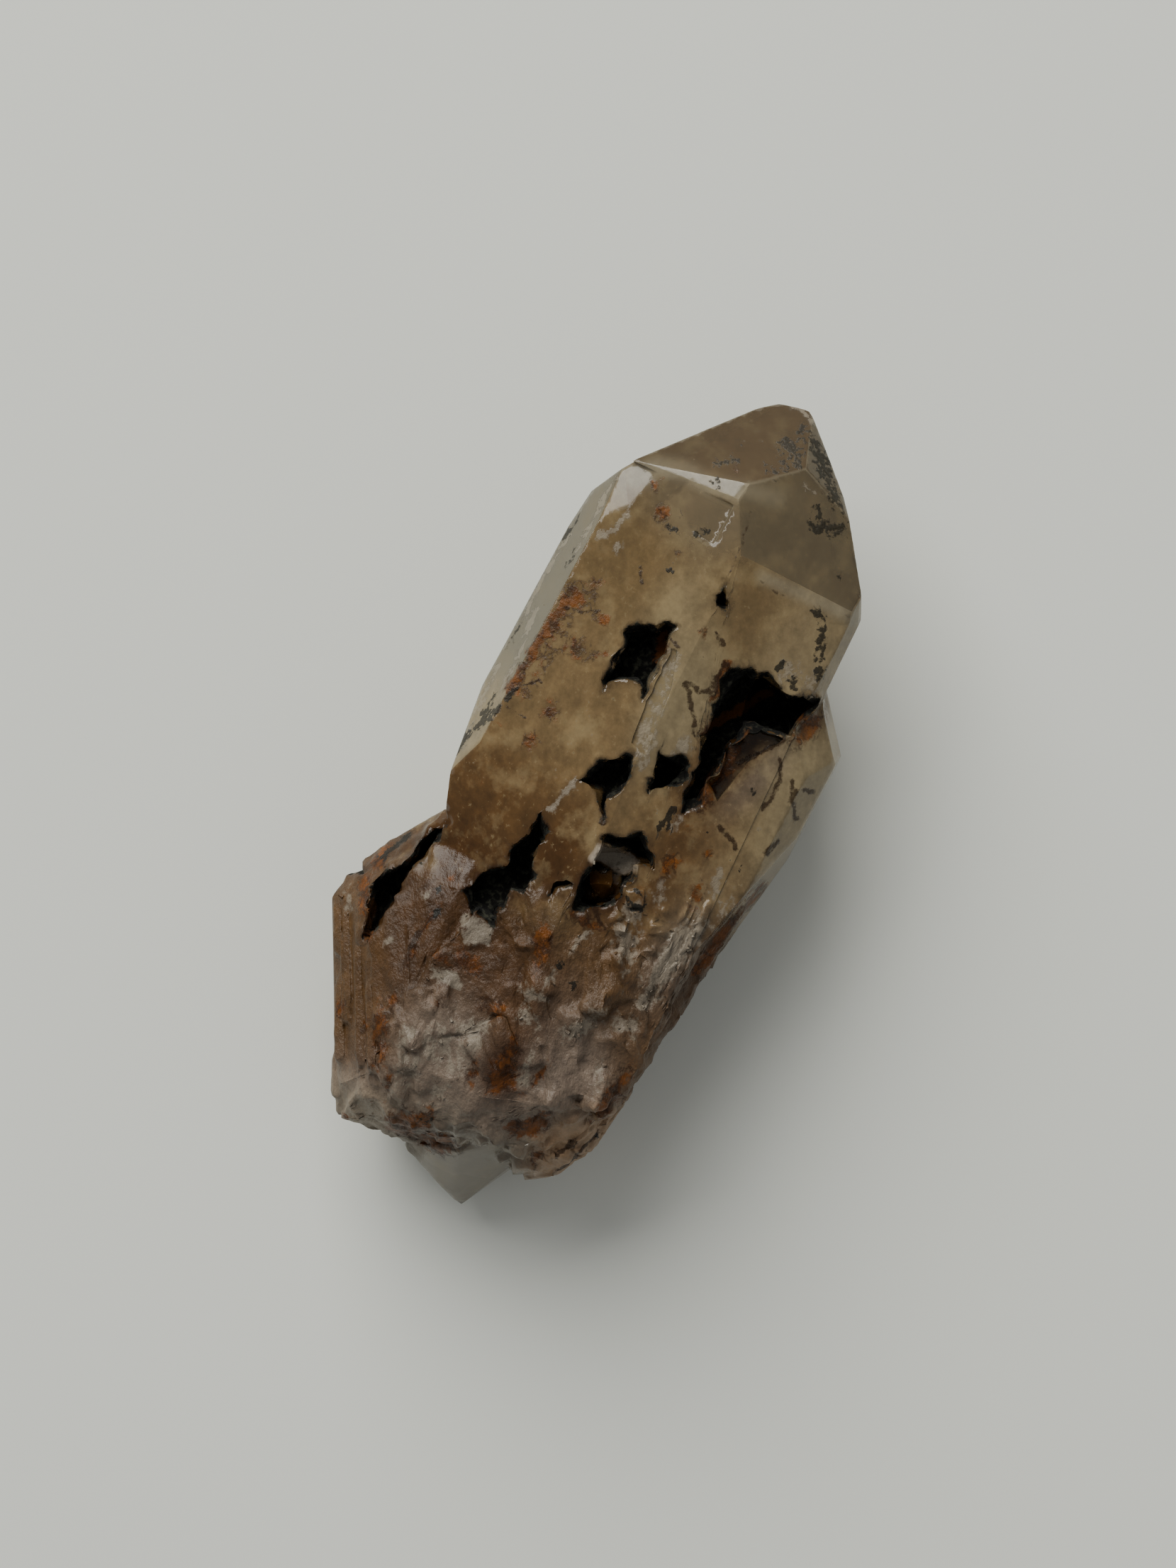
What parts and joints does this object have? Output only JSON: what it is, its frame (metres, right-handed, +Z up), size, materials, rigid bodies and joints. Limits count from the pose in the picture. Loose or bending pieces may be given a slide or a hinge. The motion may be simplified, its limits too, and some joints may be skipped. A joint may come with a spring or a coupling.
{
  "type": "natural citrine specimen",
  "caption": "Stubby smoky-yellow quartz crystal with a blunt point, dark etched hollows and a rough white and rusty root, lying on a prism face; a display or study specimen.",
  "frame": {"origin": "on the resting surface, under the middle of the specimen's bounding box", "axes": "+X along the main crystal's long axis towards its point, +Z up, +Y towards the left bundle of small crystals"},
  "size_m": [0.0802, 0.0362, 0.0241],
  "materials": {
    "citrine_quartz": "cloudy smoky-yellow quartz, glassy on the crystal faces and sugary on the broken root"
  },
  "bodies": {
    "root": {"citrine_cluster": "citrine_quartz"}
  },
  "joints": []
}
